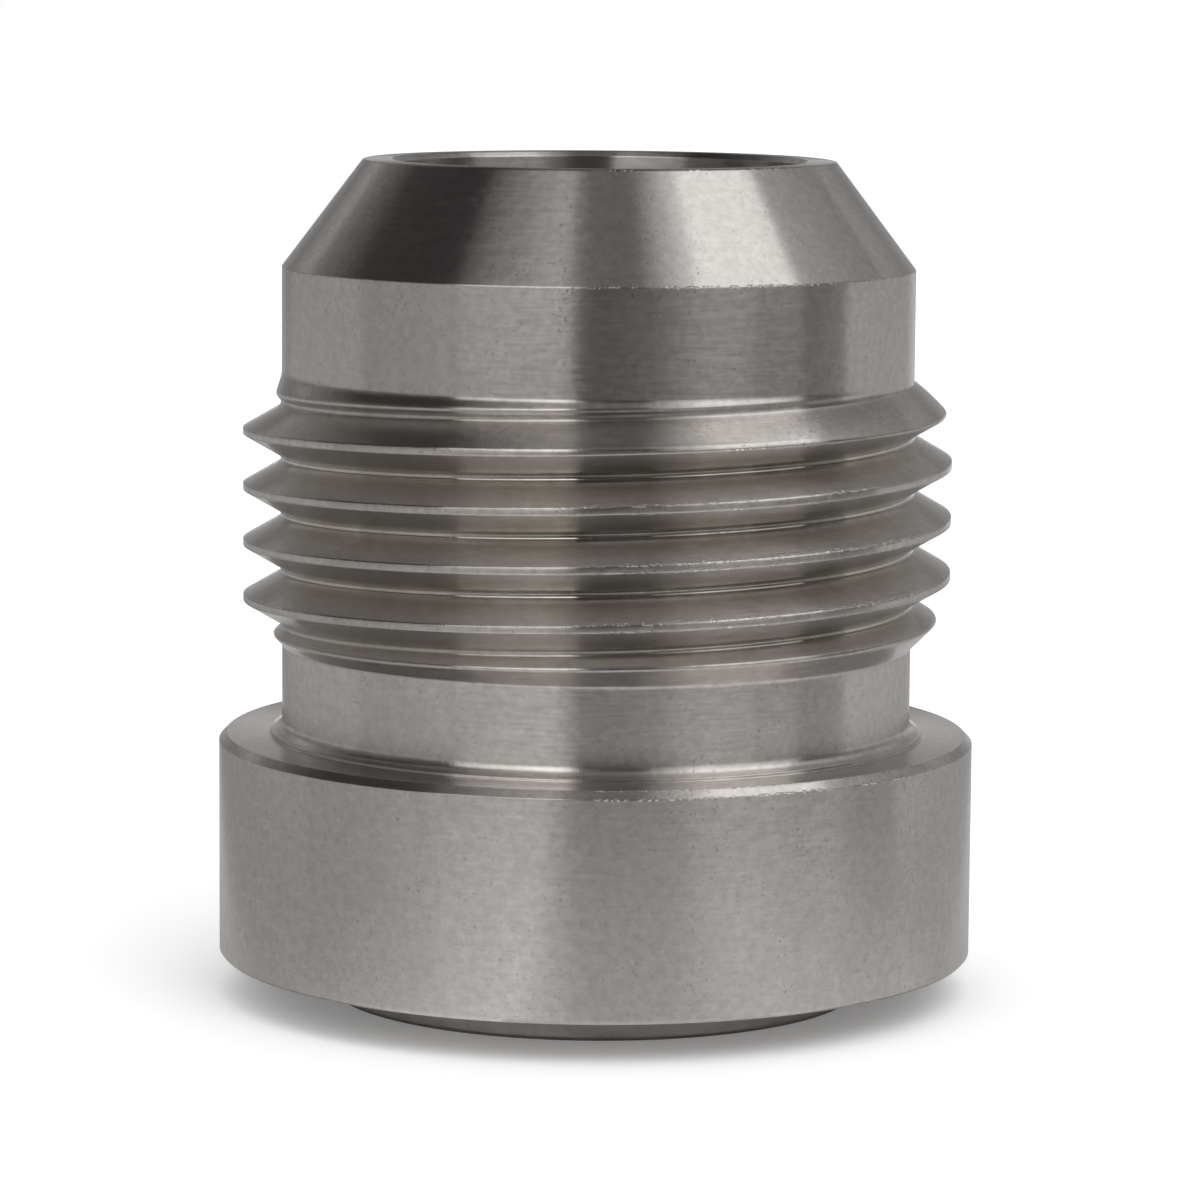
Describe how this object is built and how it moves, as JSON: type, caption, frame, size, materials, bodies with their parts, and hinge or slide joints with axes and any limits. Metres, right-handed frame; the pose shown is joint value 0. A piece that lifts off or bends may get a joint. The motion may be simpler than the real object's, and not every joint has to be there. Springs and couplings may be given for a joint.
{
  "type": "weld-on fitting",
  "caption": "Turned weld-on tube fitting: a flared cone seat and a male thread over a flanged base, with a through bore and a locating spigot.",
  "frame": {"origin": "centre of the locating spigot's end face, on the axis", "axes": "+Z along the axis from the spigot to the flare seat; the camera side of the picture is -Y"},
  "size_m": [0.0288, 0.0288, 0.0317],
  "materials": {
    "turned_steel": "bare stainless steel as turned, with fine tool marks"
  },
  "bodies": {
    "root": {"weld_fitting": "turned_steel"}
  },
  "joints": []
}
